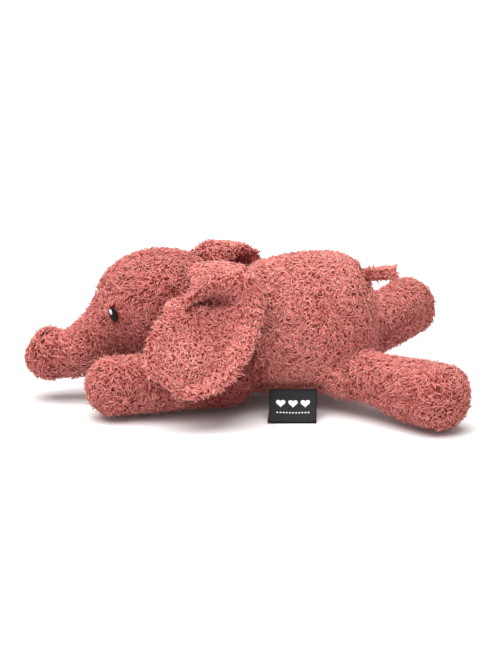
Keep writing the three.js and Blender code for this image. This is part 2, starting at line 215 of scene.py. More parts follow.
def joined_solids(name, node_names, fillers):
    """The CAD solids of a body, and the balls that fill it out, in one new mesh."""
    form = bmesh.new()
    for node_name in node_names:
        form.from_mesh(frame["nodes"][node_name].data)
    for centre, radius in fillers:
        made = bmesh.ops.create_icosphere(form, subdivisions=3, radius=radius)
        bmesh.ops.translate(form, verts=made["verts"], vec=Vector(centre))
    mesh = bpy.data.meshes.new(name)
    form.to_mesh(mesh)
    form.free()
    return new_object(name, mesh)


def apply_modifiers(piece):
    evaluated = piece.evaluated_get(bpy.context.evaluated_depsgraph_get())
    mesh = bpy.data.meshes.new_from_object(evaluated)
    piece.modifiers.clear()
    old = piece.data
    piece.data = mesh
    bpy.data.meshes.remove(old)


def melted_skin(name, node_names, fillers, voxel, smooth):
    """The outside of a body's solids as one even, smooth mesh."""
    piece = joined_solids(name, node_names, fillers)
    remesh = piece.modifiers.new("melt", "REMESH")
    remesh.mode = "VOXEL"
    remesh.voxel_size = voxel
    soften = piece.modifiers.new("soften", "SMOOTH")
    soften.iterations = smooth
    soften.factor = 0.5
    apply_modifiers(piece)
    return piece


def swell(piece, held):
    """Cloth under pressure from its stuffing: the panels push out and the seams hold."""
    mesh = piece.data
    before = vertex_points(mesh)
    group = piece.vertex_groups.new(name="seams")
    for index in np.nonzero(held)[0]:
        group.add([int(index)], 1.0, "REPLACE")
    cloth = piece.modifiers.new("cloth", "CLOTH")
    cloth.settings.quality = 4
    cloth.settings.mass = 0.2
    cloth.settings.use_pressure = True
    cloth.settings.uniform_pressure_force = CLOTH_PRESSURE
    cloth.settings.vertex_group_mass = group.name
    cloth.settings.effector_weights.gravity = 0
    cloth.collision_settings.use_collision = False
    scene = bpy.context.scene
    cloth.point_cache.frame_start = 1
    cloth.point_cache.frame_end = CLOTH_FRAMES
    for step in range(1, CLOTH_FRAMES + 1):
        scene.frame_set(step)
    apply_modifiers(piece)
    scene.frame_set(1)
    shift = vertex_points(piece.data) - before
    far = np.linalg.norm(shift, axis=1, keepdims=True)
    shift *= np.minimum(1, SWELL / np.maximum(far, 1e-9))
    move_points(piece.data, before + shift)
    piece.vertex_groups.clear()


def raised_to_eyes(depth, points, eyes):
    """The backing comes up to carry the eyes, which are stitched onto it."""
    for eye in eyes:
        away = np.linalg.norm(points - eye["centre"], axis=1)
        near = 1 - smooth_step(*EYE_BED_REACH, away)
        depth = depth * (1 - near) + EYE_BED * near
    return depth


def backing_depth(mesh, plan, to_seam, eyes):
    """How far each point of a body's skin is drawn in under the pile."""
    thin = plan.get("thin", False)
    points = vertex_points(mesh)
    depth = THIN_DEPTH if thin else plan.get("depth", BACKING_DEPTH)
    depth = np.minimum(depth, THIN_SHARE * thickness_at(mesh))
    if not thin:
        depth = depth + SEAM_DEPTH * bump(to_seam, 0, SEAM_WIDTH)
    if plan.get("tucked"):
        low = 1 - smooth_step(0, TUCK_HEIGHT, points[:, 2])
        depth = depth + TUCK * low * (1 - smooth_step(*TUCK_FADE, points[:, 0]))
    return raised_to_eyes(depth, points, eyes)


def regions_of(plan, points, to_panel):
    """The panels, or front and rear halves of panels, with the one each point belongs to."""
    owner = to_panel.argmin(axis=0)
    if not plan.get("halved"):
        return [(panel, f"{panel}_pile") for panel in plan["panels"]], owner
    halves = [(panel, f"{panel}_{end}_pile") for panel in plan["panels"] for end in ("front", "rear")]
    return halves, owner * 2 + (points[:, 0] > points[:, 0].mean())


def make_backing(body, plan, eyes):
    """The knitted backing of a body: its skin, regions, the painted light and shade of its pile, and how
    long its pile is.
    """
    thin = plan.get("thin", False)
    fillers = [(pivot_of(joint), radius * MM) for joint, radius in plan.get("sockets", [])]
    fillers += plan.get("plump", [])
    solids = plan["panels"] + ([plan["stuffing"]] if "stuffing" in plan else [])
    voxel = THIN_VOXEL if thin else VOXEL
    piece = melted_skin(f"{body}_backing", solids, fillers, voxel, THIN_SMOOTHING if thin else SMOOTHING)
    mesh = piece.data
    points = vertex_points(mesh)
    panel_trees = [tree_of(frame["nodes"][name].data) for name in plan["panels"]]
    to_panel = np.array([distances(tree, points) for tree in panel_trees])
    to_seam = np.sort(to_panel, axis=0)[1]
    depth = backing_depth(mesh, plan, to_seam, eyes)
    move_points(mesh, points - vertex_normals(mesh) * depth[:, None])
    if plan.get("stuffing"):
        swell(piece, (to_seam < SEAM_WIDTH) | (depth < 2 * EYE_BED))
    regions, owner = regions_of(plan, points, to_panel)
    return {
        "piece": piece,
        "regions": regions,
        "owner": owner,
        "light": np.full(len(points), float(plan.get("light", 0))),
        "pile": THIN_PILE if thin else 1.0,
    }


# ---- Ears: the relief of a floppy, rolled-over flap -----------------------------------------------

# The ear's middle line from its hinge over the fold to the tip, and its half width, in mm.
EAR_LINE = np.array([
    (0, 0, 0, 12), (7, -8, 7, 20), (12, -20, 2, 27), (11, -33, -17, 31),
    (1, -44, -39, 31), (-11, -51, -57, 28), (-21, -54, -71, 15),
], float)
EAR_ROLL = 11.0 * MM          # how far the rolled top edge stands out
EAR_DROOP = 11.0 * MM         # how far the front end of the roll hangs down
EAR_CREASE = 14.0 * MM        # how deep the crease under it is
EAR_FOLD = 2.5 * MM           # how deep the second, fainter fold is
EAR_RIM = 7.0 * MM            # how far the rim curls outwards
EAR_HOLLOW = 5.0 * MM         # how far the middle sinks in
EAR_LOBE = 6.0 * MM           # how full the hanging lobe is
EAR_LIFT = 9.0 * MM           # how far the tip of the lobe is drawn up
EAR_ROWS = 60                 # grid on which points of the flap look up their u and t
EAR_COLUMNS = 25


def catmull_rom(rows, places):
    """A smooth curve through rows, at places from 0 to 1."""
    padded = np.vstack([2 * rows[0] - rows[1], rows, 2 * rows[-1] - rows[-2]])
    spot = places * (len(rows) - 1)
    index = np.minimum(spot.astype(int), len(rows) - 2)
    t = (spot - index)[:, None]
    a, b, c, d = (padded[index + k] for k in range(4))
    return 0.5 * (2 * b + (c - a) * t + (2 * a - 5 * b + 4 * c - d) * t ** 2
                  + (3 * b - a - 3 * c + d) * t ** 3)


def ear_relief(u, t):
    """How far the flap stands out at u (hinge to tip) and t (front edge to back edge)."""
    crease = EAR_CREASE * bump(u, 0.44, 0.045) * (1 - smooth_step(-0.1, 0.75, t))
    fold = EAR_FOLD * bump(u - 0.03 * t, 0.50, 0.03) * smooth_step(-0.5, 0.2, t)
    rim = EAR_RIM * smooth_step(0.45, 0.95, np.abs(t)) * smooth_step(0.42, 0.55, u)
    rim = rim + EAR_RIM * 0.5 * smooth_step(0.85, 1.0, u)
    hollow = EAR_HOLLOW * bump(u, 0.58, 0.12) * bump(t, 0.1, 0.6)
    lobe = EAR_LOBE * bump(u, 0.84, 0.14) * bump(t, -0.1, 0.6)
    return rim - crease - fold - hollow + lobe


def ear_roll(u, t):
    """The rolled top edge: out to the side, and down at its front end. The tip is drawn up."""
    out = EAR_ROLL * bump(u, 0.31, 0.08) * (0.65 + 0.7 * bump(t, -0.7, 0.5))
    droop = EAR_DROOP * bump(u, 0.2, 0.17) * smooth_step(0.1, 1.0, -t)
    lift = EAR_LIFT * smooth_step(0.55, 1.0, u)
    return np.stack([droop * 0.5, -out, lift - droop - out * 0.25], axis=1)


def shape_ear(backing, joint_name, side):
    """Bends both layers of an ear together, and paints light and shade into its pile by the relief. Its
    side is -1 for the left and 1 for the right.
    """
    u = np.linspace(0, 1, EAR_ROWS)
    line = catmull_rom(EAR_LINE, u)
    centre = line[:, :3] * MM
    tangent = unit(np.gradient(centre, axis=0))
    across = unit(np.array([1.0, 0, 0]) - tangent[:, :1] * tangent)
    out = unit(np.cross(across, tangent))
    out *= np.sign((out * np.array([0, -1, 0.3])).sum(axis=1, keepdims=True))
    t = np.linspace(-1, 1, EAR_COLUMNS)
    grid = centre[:, None, :] + across[:, None, :] * (line[:, 3:] * MM * t)[:, :, None]
    grid_u, grid_t = (values.ravel() for values in np.meshgrid(u, t, indexing="ij"))
    grid_out = np.repeat(out, EAR_COLUMNS, axis=0)
    mirror = np.array([1, -side, 1])
    tree = KDTree(EAR_ROWS * EAR_COLUMNS)
    for index, point in enumerate(grid.reshape(-1, 3)):
        tree.insert(point, index)
    tree.balance()
    mesh = backing["piece"].data
    points = vertex_points(mesh)
    hinge = pivot_of(joint_name)
    local = (points - hinge) * mirror
    nearest = np.array([tree.find(point)[1] for point in local])
    near_u, near_t = grid_u[nearest], grid_t[nearest]
    relief = ear_relief(near_u, near_t)
    # Painted light and shade: the ear's pile is lighter where the flap stands out, and darker in its
    # crease and hollow.
    backing["light"] = np.clip(relief / EAR_PAINTED_LIGHT_STEP, *EAR_PAINTED_LIGHT_LIMITS)
    shift = grid_out[nearest] * relief[:, None] + ear_roll(near_u, near_t)
    move_points(mesh, (local + shift) * mirror + hinge)


# ---- Pile: curly tufts and loose fibres, as real geometry -----------------------------------------

def spread_roots(mesh, area_per_root, rng):
    """Evenly spread points on a mesh: their places, normals and nearest vertices."""
    corners = triangles_of(mesh)
    points = vertex_points(mesh)
    a, b, c = (points[corners[:, k]] for k in range(3))
    area = np.linalg.norm(np.cross(b - a, c - a), axis=1) / 2
    count = int(area.sum() / area_per_root)
    marks = (np.arange(count) + rng.random(count)) * (area.sum() / count)
    chosen = np.searchsorted(np.cumsum(area), marks).clip(0, len(area) - 1)
    u, v = rng.random(count), rng.random(count)
    flip = u + v > 1
    u[flip], v[flip] = 1 - u[flip], 1 - v[flip]
    weights = np.stack([1 - u - v, u, v], axis=1)
    picked = corners[chosen]
    roots = (points[picked] * weights[:, :, None]).sum(axis=1)
    normals = unit((vertex_normals(mesh)[picked] * weights[:, :, None]).sum(axis=1))
    return roots, normals, picked[np.arange(count), weights.argmax(axis=1)]


def slow_waves(points, wavelength):
    """Three smooth values from -1 to 1 that wander over the toy."""
    directions = np.array([(1, 0.4, 0.2), (0.2, 1, 0.5), (0.5, -0.3, 1)])
    phases = np.array([0.3, 1.7, 4.0])
    return np.sin(points @ directions.T * (2 * math.pi / wavelength) + phases)


def lay_direction(roots, normals, eyes, rng):
    """The way each strand leans: by wide sweeps, small patches and chance, and away from an eye."""
    lean = (slow_waves(roots, SWEEP) * 0.5 + slow_waves(roots[:, [1, 2, 0]], LIE_PATCH) * 0.35
            + rng.normal(size=roots.shape) * 0.62 + np.array([0.1, 0, -0.35]))
    for eye in eyes:
        away = roots - eye["centre"]
        reach = np.linalg.norm(away, axis=1, keepdims=True)
        lean += unit(away) * 4 * (1 - smooth_step(0.35 * EYE_COMB, 1.3 * EYE_COMB, reach))
    lean -= (lean * normals).sum(axis=1, keepdims=True) * normals
    return unit(lean)


def strand_paths(roots, normals, form, eyes, rng):
    """Curled centre lines: strands x rings x 3."""
    count = len(roots)
    steps = np.linspace(0, 1, form["segments"] + 1)[None, :, None]
    lean = lay_direction(roots, normals, eyes, rng)[:, None, :]
    up = normals[:, None, :]
    side = np.cross(up, lean)
    pressed = smooth_step(0, PRESSED_HEIGHT, roots[:, 2])[:, None, None]
    length = form["length"] * rng.uniform(0.75, 1.2, (count, 1, 1)) * (0.45 + 0.55 * pressed)
    lift = form["rise"] * rng.uniform(0.75, 1.15, (count, 1, 1)) * (0.35 + 0.65 * pressed)
    turn = rng.uniform(2.0, 4.6, (count, 1, 1)) * rng.choice([-1, 1], (count, 1, 1))
    start = rng.uniform(0, 2 * math.pi, (count, 1, 1))
    swirl = form["curl"] * form["length"] * steps ** 0.7
    path = roots[:, None, :] + length * (
        up * lift * (1 - (1 - steps) ** 1.7) + lean * (1 - lift * 0.6) * steps ** 1.5
    )
    return path + swirl * (
        lean * (np.cos(start + turn * steps) - np.cos(start))
        + side * (np.sin(start + turn * steps) - np.sin(start))
    )


def strand_points(path, width, sides, taper):
    """Rings round the centre lines, narrowing to a point: strands x points x 3."""
    count, rings, _ = path.shape
    path[:, :, 2] = np.maximum(path[:, :, 2], FLOOR_CLEARANCE)
    along = unit(np.gradient(path, axis=1))
    across = unit(np.cross(along, np.array([0.31, 0.17, 0.93])))
    over = np.cross(along, across)
    steps = np.linspace(0, 1, rings)
    swelling = (1 - steps ** taper) * (0.6 + 0.4 * np.minimum(1, steps * 3))
    radius = width[:, None] / 2 * swelling[None, :]
    body = rings - 1
    angles = np.arange(sides) * 2 * math.pi / sides
    ring = (across[:, :body, None, :] * np.cos(angles)[:, None]
            + over[:, :body, None, :] * np.sin(angles)[:, None])
    tube = path[:, :body, None, :] + ring * radius[:, :body, None, None]
    tube[..., 2] = np.maximum(tube[..., 2], FLOOR_CLEARANCE / 2)
    return np.concatenate([tube.reshape(count, -1, 3), path[:, -1:, :]], axis=1)


def strand_faces(count, rings, sides):
    """The quads and end triangles of strands, and how high up its strand each face lies."""
    body = rings - 1
    per_strand = body * sides + 1
    first = (np.arange(count) * per_strand)[:, None, None]
    level = first + (np.arange(body - 1) * sides)[None, :, None]
    spots = np.arange(sides)[None, None, :]
    beside = (spots + 1) % sides
    quads = np.stack(
        [level + spots, level + beside, level + sides + beside, level + sides + spots], axis=-1,
    )
    last = first + (body - 1) * sides
    point = np.broadcast_to(first + per_strand - 1, (count, 1, sides))
    tips = np.stack([last + spots, last + beside, point], axis=-1)
    steps = np.linspace(0, 1, rings)
    middles = (steps[:body - 1] + steps[1:body]) / 2
    quad_height = np.broadcast_to(middles[None, :, None], quads.shape[:3])
    tip_height = np.full(tips.shape[:3], 1.0)
    return quads, tips, quad_height, tip_height


def shade_index(height, tint):
    """The material slot of a face from its height on the tuft and the tuft's tint."""
    return np.digitize(height, BAND_TOPS) * len(TINTS) + tint


def strand_tints(roots, light, rng):
    """The tint of each strand: by chance, by slow patches, and by the painted light and shade of its
    place.
    """
    low, high = USUAL_TINTS
    patches = slow_waves(roots, TINT_PATCH).sum(axis=1) / 6 + 0.5
    mood = rng.random(len(roots)) * 0.75 + 0.25 * patches
    tint = low + (high - low) * mood + light
    return np.clip(tint.astype(int), 0, len(TINTS) - 1)


def grow_strands(roots, normals, light, form, eyes, rng):
    """Vertices, quads, triangles and the material slots of both, for one region."""
    path = strand_paths(roots, normals, form, eyes, rng)
    width = form["width"] * rng.uniform(0.65, 1.25, len(roots))
    points = strand_points(path, width, form["sides"], form["taper"])
    quads, tips, quad_height, tip_height = strand_faces(len(roots), path.shape[1], form["sides"])
    tint = strand_tints(roots, light, rng)[:, None, None]
    quad_shade = shade_index(quad_height, tint).ravel()
    tip_shade = shade_index(tip_height, tint).ravel()
    return points.reshape(-1, 3), quads.reshape(-1, 4), tips.reshape(-1, 3), quad_shade, tip_shade


def backing_part(backing, region_index):
    """The backing faces that belong to one region."""
    mesh = backing["piece"].data
    corners = triangles_of(mesh)
    mine = corners[backing["owner"][corners[:, 0]] == region_index]
    used, renumbered = np.unique(mine, return_inverse=True)
    vertices = vertex_points(mesh)[used]
    vertices[:, 2] = np.maximum(vertices[:, 2], FLOOR_CLEARANCE)
    # Painted shade: the backing takes the root band and the lowest usual tint, to stand for the shade
    # deep in the pile.
    return (vertices, np.empty((0, 4), int), renumbered.reshape(-1, 3), np.empty(0, int),
            np.full(len(mine), shade_index(0, USUAL_TINTS[0])))


def mesh_from_parts(name, parts):
    """One mesh from several (vertices, quads, triangles, quad slots, triangle slots)."""
    offsets = np.cumsum([0] + [len(part[0]) for part in parts[:-1]])
    vertices = np.concatenate([part[0] for part in parts])
    quads = np.concatenate([part[1] + offset for part, offset in zip(parts, offsets)])
    triangles = np.concatenate([part[2] + offset for part, offset in zip(parts, offsets)])
    slots = np.concatenate([part[3] for part in parts] + [part[4] for part in parts])
    sizes = np.concatenate([np.full(len(quads), 4), np.full(len(triangles), 3)])
    mesh = bpy.data.meshes.new(name)
    mesh.vertices.add(len(vertices))
    mesh.vertices.foreach_set("co", vertices.astype(np.float32).ravel())
    mesh.loops.add(int(sizes.sum()))
    loops = np.concatenate([quads.ravel(), triangles.ravel()])
    mesh.loops.foreach_set("vertex_index", loops.astype(np.int32))
    mesh.polygons.add(len(sizes))
    starts = np.concatenate([[0], np.cumsum(sizes)[:-1]])
    mesh.polygons.foreach_set("loop_start", starts.astype(np.int32))
    mesh.polygons.foreach_set("use_smooth", np.ones(len(sizes), bool))
    mesh.polygons.foreach_set("material_index", slots.astype(np.int32))
    mesh.update(calc_edges=True)
    mesh.validate()
    return mesh


def outside_eyes(roots, eyes):
    """Which roots are clear of the eyes. Those far behind or in front of an eye all are."""
    keep = np.ones(len(roots), bool)
    for eye in eyes:
        spot = (roots - eye["centre"]) @ eye["axes"].T / eye["half"]
        keep &= (spot[:, 0] ** 2 + spot[:, 1] ** 2 > 0.9) | (np.abs(spot[:, 2]) > 8)
    return keep


def plant(backing, form, neighbours, flowing, eyes, rng):
    """The roots of one kind of strand, with the normal, painted light and shade, and region of each."""
    roots, normals, vertex = spread_roots(backing["piece"].data, form["area"], rng)
    keep = outside_eyes(roots, eyes)
    room = np.full(len(roots), PAINTED_SHADE_FAR)
    for skin in neighbours:
        if not skin.thin:
            keep &= skin.depth(roots) < HIDDEN_DEPTH
        if skin.body not in flowing:
            room = np.minimum(room, skin.distance(roots, PAINTED_SHADE_FAR))
    # Painted light makes the pile that faces up lighter; painted shade makes pile near other bodies
    # darker.
    light = backing["light"][vertex] + PAINTED_TOP_LIGHT * smooth_step(0.35, 1.0, normals[:, 2])
    light -= PAINTED_CREVICE_SHADE * (1 - smooth_step(PAINTED_SHADE_NEAR, PAINTED_SHADE_FAR, room))
    return roots[keep], normals[keep], light[keep], backing["owner"][vertex[keep]]


def grow_pile(body, backing, neighbours, flowing, eyes, rng):
    """One piece for each region of a backing: its faces, its tufts and its loose fibres."""
    forms = [dict(form, length=form["length"] * backing["pile"]) for form in (TUFT, FIBRE)]
    planted = [plant(backing, form, neighbours, flowing, eyes, rng) for form in forms]
    pieces = []
    for index, (panel, name) in enumerate(backing["regions"]):
        parts = [backing_part(backing, index)]
        for form, (roots, normals, light, owner) in zip(forms, planted):
            mine = owner == index
            if mine.any():
                parts.append(grow_strands(roots[mine], normals[mine], light[mine], form, eyes, rng))
        piece = new_object(name, mesh_from_parts(name, parts))
        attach(piece, body)
        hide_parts(panel)
        pieces.append(piece)
    bpy.data.objects.remove(backing["piece"])
    return pieces


# ---- Materials -----------------------------------------------------------------------------------

PILE_GRAIN = 420.0            # noise scales: the larger, the finer
FIBRE_GRAIN = 1500.0
TWIST_GRAIN = 3000.0
WEAVE_GRAIN = 900.0
MICRO_RELIEF = 0.1 * MM       # height of thread twist and satin weave in their bump maps


class NodeMaterial:
    """A short way to write a material's node tree."""

    def __init__(self, name):
        self.material = bpy.data.materials.new(name)
        self.material.use_nodes = True
        self.tree = self.material.node_tree
        self.shader = self.tree.nodes["Principled BSDF"]

    def add(self, kind, **settings):
        node = self.tree.nodes.new(kind)
        for key, value in settings.items():
            setattr(node, key, value)
        return node

    def link(self, output, target):
        self.tree.links.new(output, target)

    def noise(self, scale, detail=3.0):
        place = self.add("ShaderNodeTexCoord")
        noise = self.add("ShaderNodeTexNoise")
        set_sockets(noise, Scale=scale, Detail=detail, Roughness=0.6)
        self.link(place.outputs["Object"], noise.inputs["Vector"])
        return noise.outputs["Fac"]

    def ranged(self, source, low, high):
        spread = self.add("ShaderNodeMapRange")
        set_sockets(spread, From_Min=0.3, From_Max=0.7, To_Min=low, To_Max=high)
        self.link(source, spread.inputs["Value"])
        return spread.outputs["Result"]


def set_sockets(node, **values):
    for name, value in values.items():
        node.inputs[name.replace("_", " ")].default_value = value


def pile_materials():
    """A material for each height band and tint of the curly pile, in the order of shade_index."""
    made = []
    for band, colour in enumerate(PILE_BANDS):
        for tint, brightness in enumerate(TINTS):
            pile = NodeMaterial(f"curly_pile_{band}_{tint}")
            red, green, blue = colour
            pallor = brightness ** PALLOR
            shade = (min(1.0, red * brightness), green * pallor, blue * pallor)
            pile.shader.inputs["Base Color"].default_value = (*shade, 1)
            set_sockets(pile.shader, Roughness=0.7, Specular_IOR_Level=0.1, Sheen_Roughness=0.5)
            pile.shader.inputs["Sheen Tint"].default_value = (1.0, 0.62, 0.56, 1)
            sheen = pile.ranged(pile.noise(PILE_GRAIN), 0.0, 0.2)
            pile.link(sheen, pile.shader.inputs["Sheen Weight"])
            made.append(pile.material)
    return made


# ---- Eyes ----------------------------------------------------------------------------------------

THREAD = 0.42 * MM            # width of one embroidery thread
THREAD_SPACING = 0.72 * THREAD
STITCH_LIFT = 0.4 * MM        # how far the stitches stand off the middle of the CAD oval
HEAD_MIDDLE = np.array([-26, 0, -23]) * MM      # from the point midway between the ear hinges


def oval_frame(node_name, towards):
    """The middle, axes (short, long, outward) and half sizes of a flat oval CAD node."""
    points = vertex_points(frame["nodes"][node_name].data)
    centre = (points.max(axis=0) + points.min(axis=0)) / 2
    _, _, axes = np.linalg.svd(points - points.mean(axis=0), full_matrices=False)
    long, short, out = axes
    if out @ (centre - towards) < 0:
        out = -out
    if long[2] < 0:
        long = -long
    short = np.cross(long, out)
    axes = np.array([short, long, out])
    reach = np.abs((points - centre) @ axes.T).max(axis=0)
    return {"centre": centre, "axes": axes, "half": reach}


def satin_stitches(name, oval, narrowing, rise, rng):
    """Threads laid side by side across an oval. A narrowing makes a teardrop of it."""
    half_short, half_long, half_thick = oval["half"]
    rows = int(2 * half_long / THREAD_SPACING)
    paths = []
    for row in range(rows):
        along = -1 + 2 * (row + 0.5) / rows
        reach = half_short * math.sqrt(max(0.02, 1 - along ** 2))
        reach *= 1 - narrowing * (0.5 - along / 2)
        reach += rng.uniform(-0.35, 0.45) * MM * (1 - narrowing)
        across = np.linspace(-1, 1, 9)
        dome = rise * (1 - 0.6 * across ** 2) * (1 - 0.5 * along ** 2) + rng.uniform(0, 0.1) * MM
        local = np.stack([across * reach, along * half_long + 0.12 * half_long * across * 0.3,
                          dome - half_thick * 0.9 * np.abs(across) ** 6], axis=1)
        paths.append(oval["centre"] + local @ oval["axes"])
    return tube_mesh(name, np.array(paths), THREAD / 2, 6)


def tube_mesh(name, paths, radius, sides):
    """Plain round tubes along paths, closed at both ends."""
    form = bmesh.new()
    for path in paths:
        along = unit(np.gradient(path, axis=0))
        across = unit(np.cross(along, np.array([0.2, 0.3, 0.93])))
        over = np.cross(along, across)
        rings = []
        for k, point in enumerate(path):
            size = radius * (0.55 if k in (0, len(path) - 1) else 1)
            rings.append([
                form.verts.new(point + size * (across[k] * math.cos(a) + over[k] * math.sin(a)))
                for a in turns(sides)
            ])
        for low, high in zip(rings, rings[1:]):
            for s in range(sides):
                form.faces.new((low[s], low[(s + 1) % sides], high[(s + 1) % sides], high[s]))
        form.faces.new(reversed(rings[0]))
        form.faces.new(rings[-1])
    bmesh.ops.recalc_face_normals(form, faces=form.faces)
    mesh = bpy.data.meshes.new(name)
    form.to_mesh(mesh)
    form.free()
    for polygon in mesh.polygons:
        polygon.use_smooth = True
    return mesh


def thread_material(name, colour, roughness):
    thread = NodeMaterial(name)
    set_sockets(thread.shader, Roughness=roughness, Specular_IOR_Level=0.25)
    value = thread.add("ShaderNodeHueSaturation")
    value.inputs["Color"].default_value = (*colour, 1)
    thread.link(thread.ranged(thread.noise(FIBRE_GRAIN), 0.7, 1.3), value.inputs["Value"])
    thread.link(value.outputs["Color"], thread.shader.inputs["Base Color"])
    twist = thread.add("ShaderNodeBump")
    set_sockets(twist, Strength=0.3, Distance=MICRO_RELIEF)
    thread.link(thread.noise(TWIST_GRAIN), twist.inputs["Height"])
    thread.link(twist.outputs["Normal"], thread.shader.inputs["Normal"])
    return thread.material


def build_eyes(rng):
    black = thread_material("black_thread", (0.0035, 0.003, 0.0035), 0.5)
    white = thread_material("white_thread", (0.88, 0.88, 0.90), 0.5)
    between_ears = (pivot_of("ear_left_flap") + pivot_of("ear_right_flap")) / 2
    head_middle = between_ears + HEAD_MIDDLE
    eyes = []
    for side in ("left", "right"):
        for node, material, narrowing, rise in (
            (f"eye_{side}", black, 0.0, 1.0 * MM),
            (f"eye_{side}_highlight", white, 0.75, 0.5 * MM),
        ):
            oval = oval_frame(node, head_middle)
            oval["centre"] = oval["centre"] + oval["axes"][2] * STITCH_LIFT
            name = f"{node}_stitches"
            piece = new_object(name, satin_stitches(name, oval, narrowing, rise, rng))
            piece.data.materials.append(material)
            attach(piece, "head")
            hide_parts(node)
            if material is black:
                eyes.append(oval)
    return eyes


# ---- Label ---------------------------------------------------------------------------------------

LABEL_WIDTH = 31 * MM
LABEL_HEIGHT = 25 * MM        # from the seam to the fold; the ribbon is cut to twice this
LABEL_THICK = 0.35 * MM
LABEL_SLOPE = math.radians(44)
LABEL_DOWN = np.array([0, -math.sin(LABEL_SLOPE), -math.cos(LABEL_SLOPE)])
LABEL_OUT = np.array([0, -math.cos(LABEL_SLOPE), math.sin(LABEL_SLOPE)])
MOTIF_RISE = 0.3 * MM         # how far the motif stands off the front layer


def label_point(s, t, layer):
    """A point of the label: s across, t from seam to fold, on layer 1 in front or -1 behind."""
    x = (s - 0.5) * LABEL_WIDTH * (1 - 0.02 * t) - 0.3 * MM * t
    wave = 0.35 * MM * math.sin(7.0 * s + 0.8) * math.sin(2.6 * t + 0.3)
    kink = 1.3 * MM * max(0.0, 1 - s / 0.22) * max(0.0, (t - 0.55) / 0.45) ** 1.5
    gap = 0.45 * MM * layer * (1 - max(0.0, (t - 0.93) / 0.07) ** 2)
    anchor = pivot_of("label_fold")
    return (anchor + np.array([x - kink, 0, 0]) + LABEL_DOWN * LABEL_HEIGHT * t
            + LABEL_OUT * (wave + kink * 0.9 + gap))


def label_mesh():
    columns, rows = 30, 24
    form = bmesh.new()
    grid = []
    for layer, places in ((1, range(rows + 1)), (-1, range(rows - 1, -1, -1))):
        for i in places:
            t = i / rows
            line = []
            for j in range(columns + 1):
                point = label_point(j / columns, t, layer)
                point[2] = max(point[2], FLOOR_CLEARANCE)
                line.append(form.verts.new(point))
            grid.append(line)
    for upper, lower in zip(grid, grid[1:]):
        for j in range(columns):
            form.faces.new((upper[j], lower[j], lower[j + 1], upper[j + 1]))
    bmesh.ops.recalc_face_normals(form, faces=form.faces)
    mesh = bpy.data.meshes.new("woven_label_ribbon")
    form.to_mesh(mesh)
    form.free()
    return mesh


def satin_material():
    satin = NodeMaterial("black_satin")
    set_sockets(satin.shader, Roughness=0.55, Specular_IOR_Level=0.22)
    place = satin.add("ShaderNodeTexCoord")
    weave = satin.add("ShaderNodeTexWave", wave_type="BANDS", bands_direction="X")
    set_sockets(weave, Scale=WEAVE_GRAIN, Distortion=0.6, Detail=1.0)
    satin.link(place.outputs["Object"], weave.inputs["Vector"])
    value = satin.add("ShaderNodeHueSaturation")
    value.inputs["Color"].default_value = (0.0045, 0.005, 0.0065, 1)
    satin.link(satin.ranged(weave.outputs["Fac"], 0.75, 1.25), value.inputs["Value"])
    satin.link(value.outputs["Color"], satin.shader.inputs["Base Color"])
    relief = satin.add("ShaderNodeBump")
    set_sockets(relief, Strength=0.25, Distance=MICRO_RELIEF)
    satin.link(weave.outputs["Fac"], relief.inputs["Height"])
    satin.link(relief.outputs["Normal"], satin.shader.inputs["Normal"])
    return satin.material


def heart_outline():
    """The usual heart curve, from -1 to 1 across."""
    weights = (13, -5, -2, -1)
    return [
        (math.sin(a) ** 3, sum(w * math.cos(n * a) for n, w in enumerate(weights, 1)) / 16)
        for a in turns(28)
    ]


def label_motif():
    """Three plain woven hearts over a row of dots, just proud of the ribbon."""
    form = bmesh.new()

    def patch(outline, s, t, size):
        def at(x, y):
            point = label_point(s + x * size / LABEL_WIDTH, t - y * size / LABEL_HEIGHT, 1)
            return form.verts.new(point + LABEL_OUT * MOTIF_RISE)
        middle = at(0, 0)
        rim = [at(x, y) for x, y in outline]
        for k in range(len(rim)):
            form.faces.new((middle, rim[k], rim[(k + 1) % len(rim)]))

    for s in (0.24, 0.5, 0.76):
        patch(heart_outline(), s, 0.42, 3.1 * MM)
    circle = [(math.cos(a), math.sin(a)) for a in turns(10)]
    for k in range(11):
        patch(circle, 0.17 + 0.066 * k, 0.70, 0.55 * MM)
    bmesh.ops.recalc_face_normals(form, faces=form.faces)
    mesh = bpy.data.meshes.new("woven_label_motif")
    form.to_mesh(mesh)
    form.free()
    return mesh


def build_label():
    ribbon = new_object("woven_label_ribbon", label_mesh())
    thickness = ribbon.modifiers.new("thickness", "SOLIDIFY")
    thickness.thickness = LABEL_THICK
    thickness.offset = 0
    apply_modifiers(ribbon)
    for polygon in ribbon.data.polygons:
        polygon.use_smooth = True
    ribbon.data.materials.append(satin_material())
    motif = new_object("woven_label_motif", label_motif())
    motif.data.materials.append(thread_material("white_weft", (0.82, 0.85, 0.88), 0.55))
    for piece in (ribbon, motif):
        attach(piece, "woven_label")
    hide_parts("woven_label")


# ---- Studio --------------------------------------------------------------------------------------

CAMERA_ELEVATION = math.radians(13)
CAMERA_DISTANCE = 1.6
FOCAL_LENGTH = 129.0
TARGET = Vector((pivot_of("neck_nod")[0] + 26 * MM, 0, 44.5 * MM))
SKY_STRENGTH = 0.44
FLOOR_HALF = 15.0
FLOOR_WHITE = 0.93


def add_camera():
    camera = bpy.data.objects.new("camera", bpy.data.cameras.new("camera"))
    camera.data.lens = FOCAL_LENGTH
    camera.data.clip_start = 0.01
    offset = Vector((0, -math.cos(CAMERA_ELEVATION), math.sin(CAMERA_ELEVATION)))
    camera.location = TARGET + offset * CAMERA_DISTANCE
    camera.rotation_euler = (-offset).to_track_quat("-Z", "Y").to_euler()
    bpy.context.scene.collection.objects.link(camera)
    bpy.context.scene.camera = camera


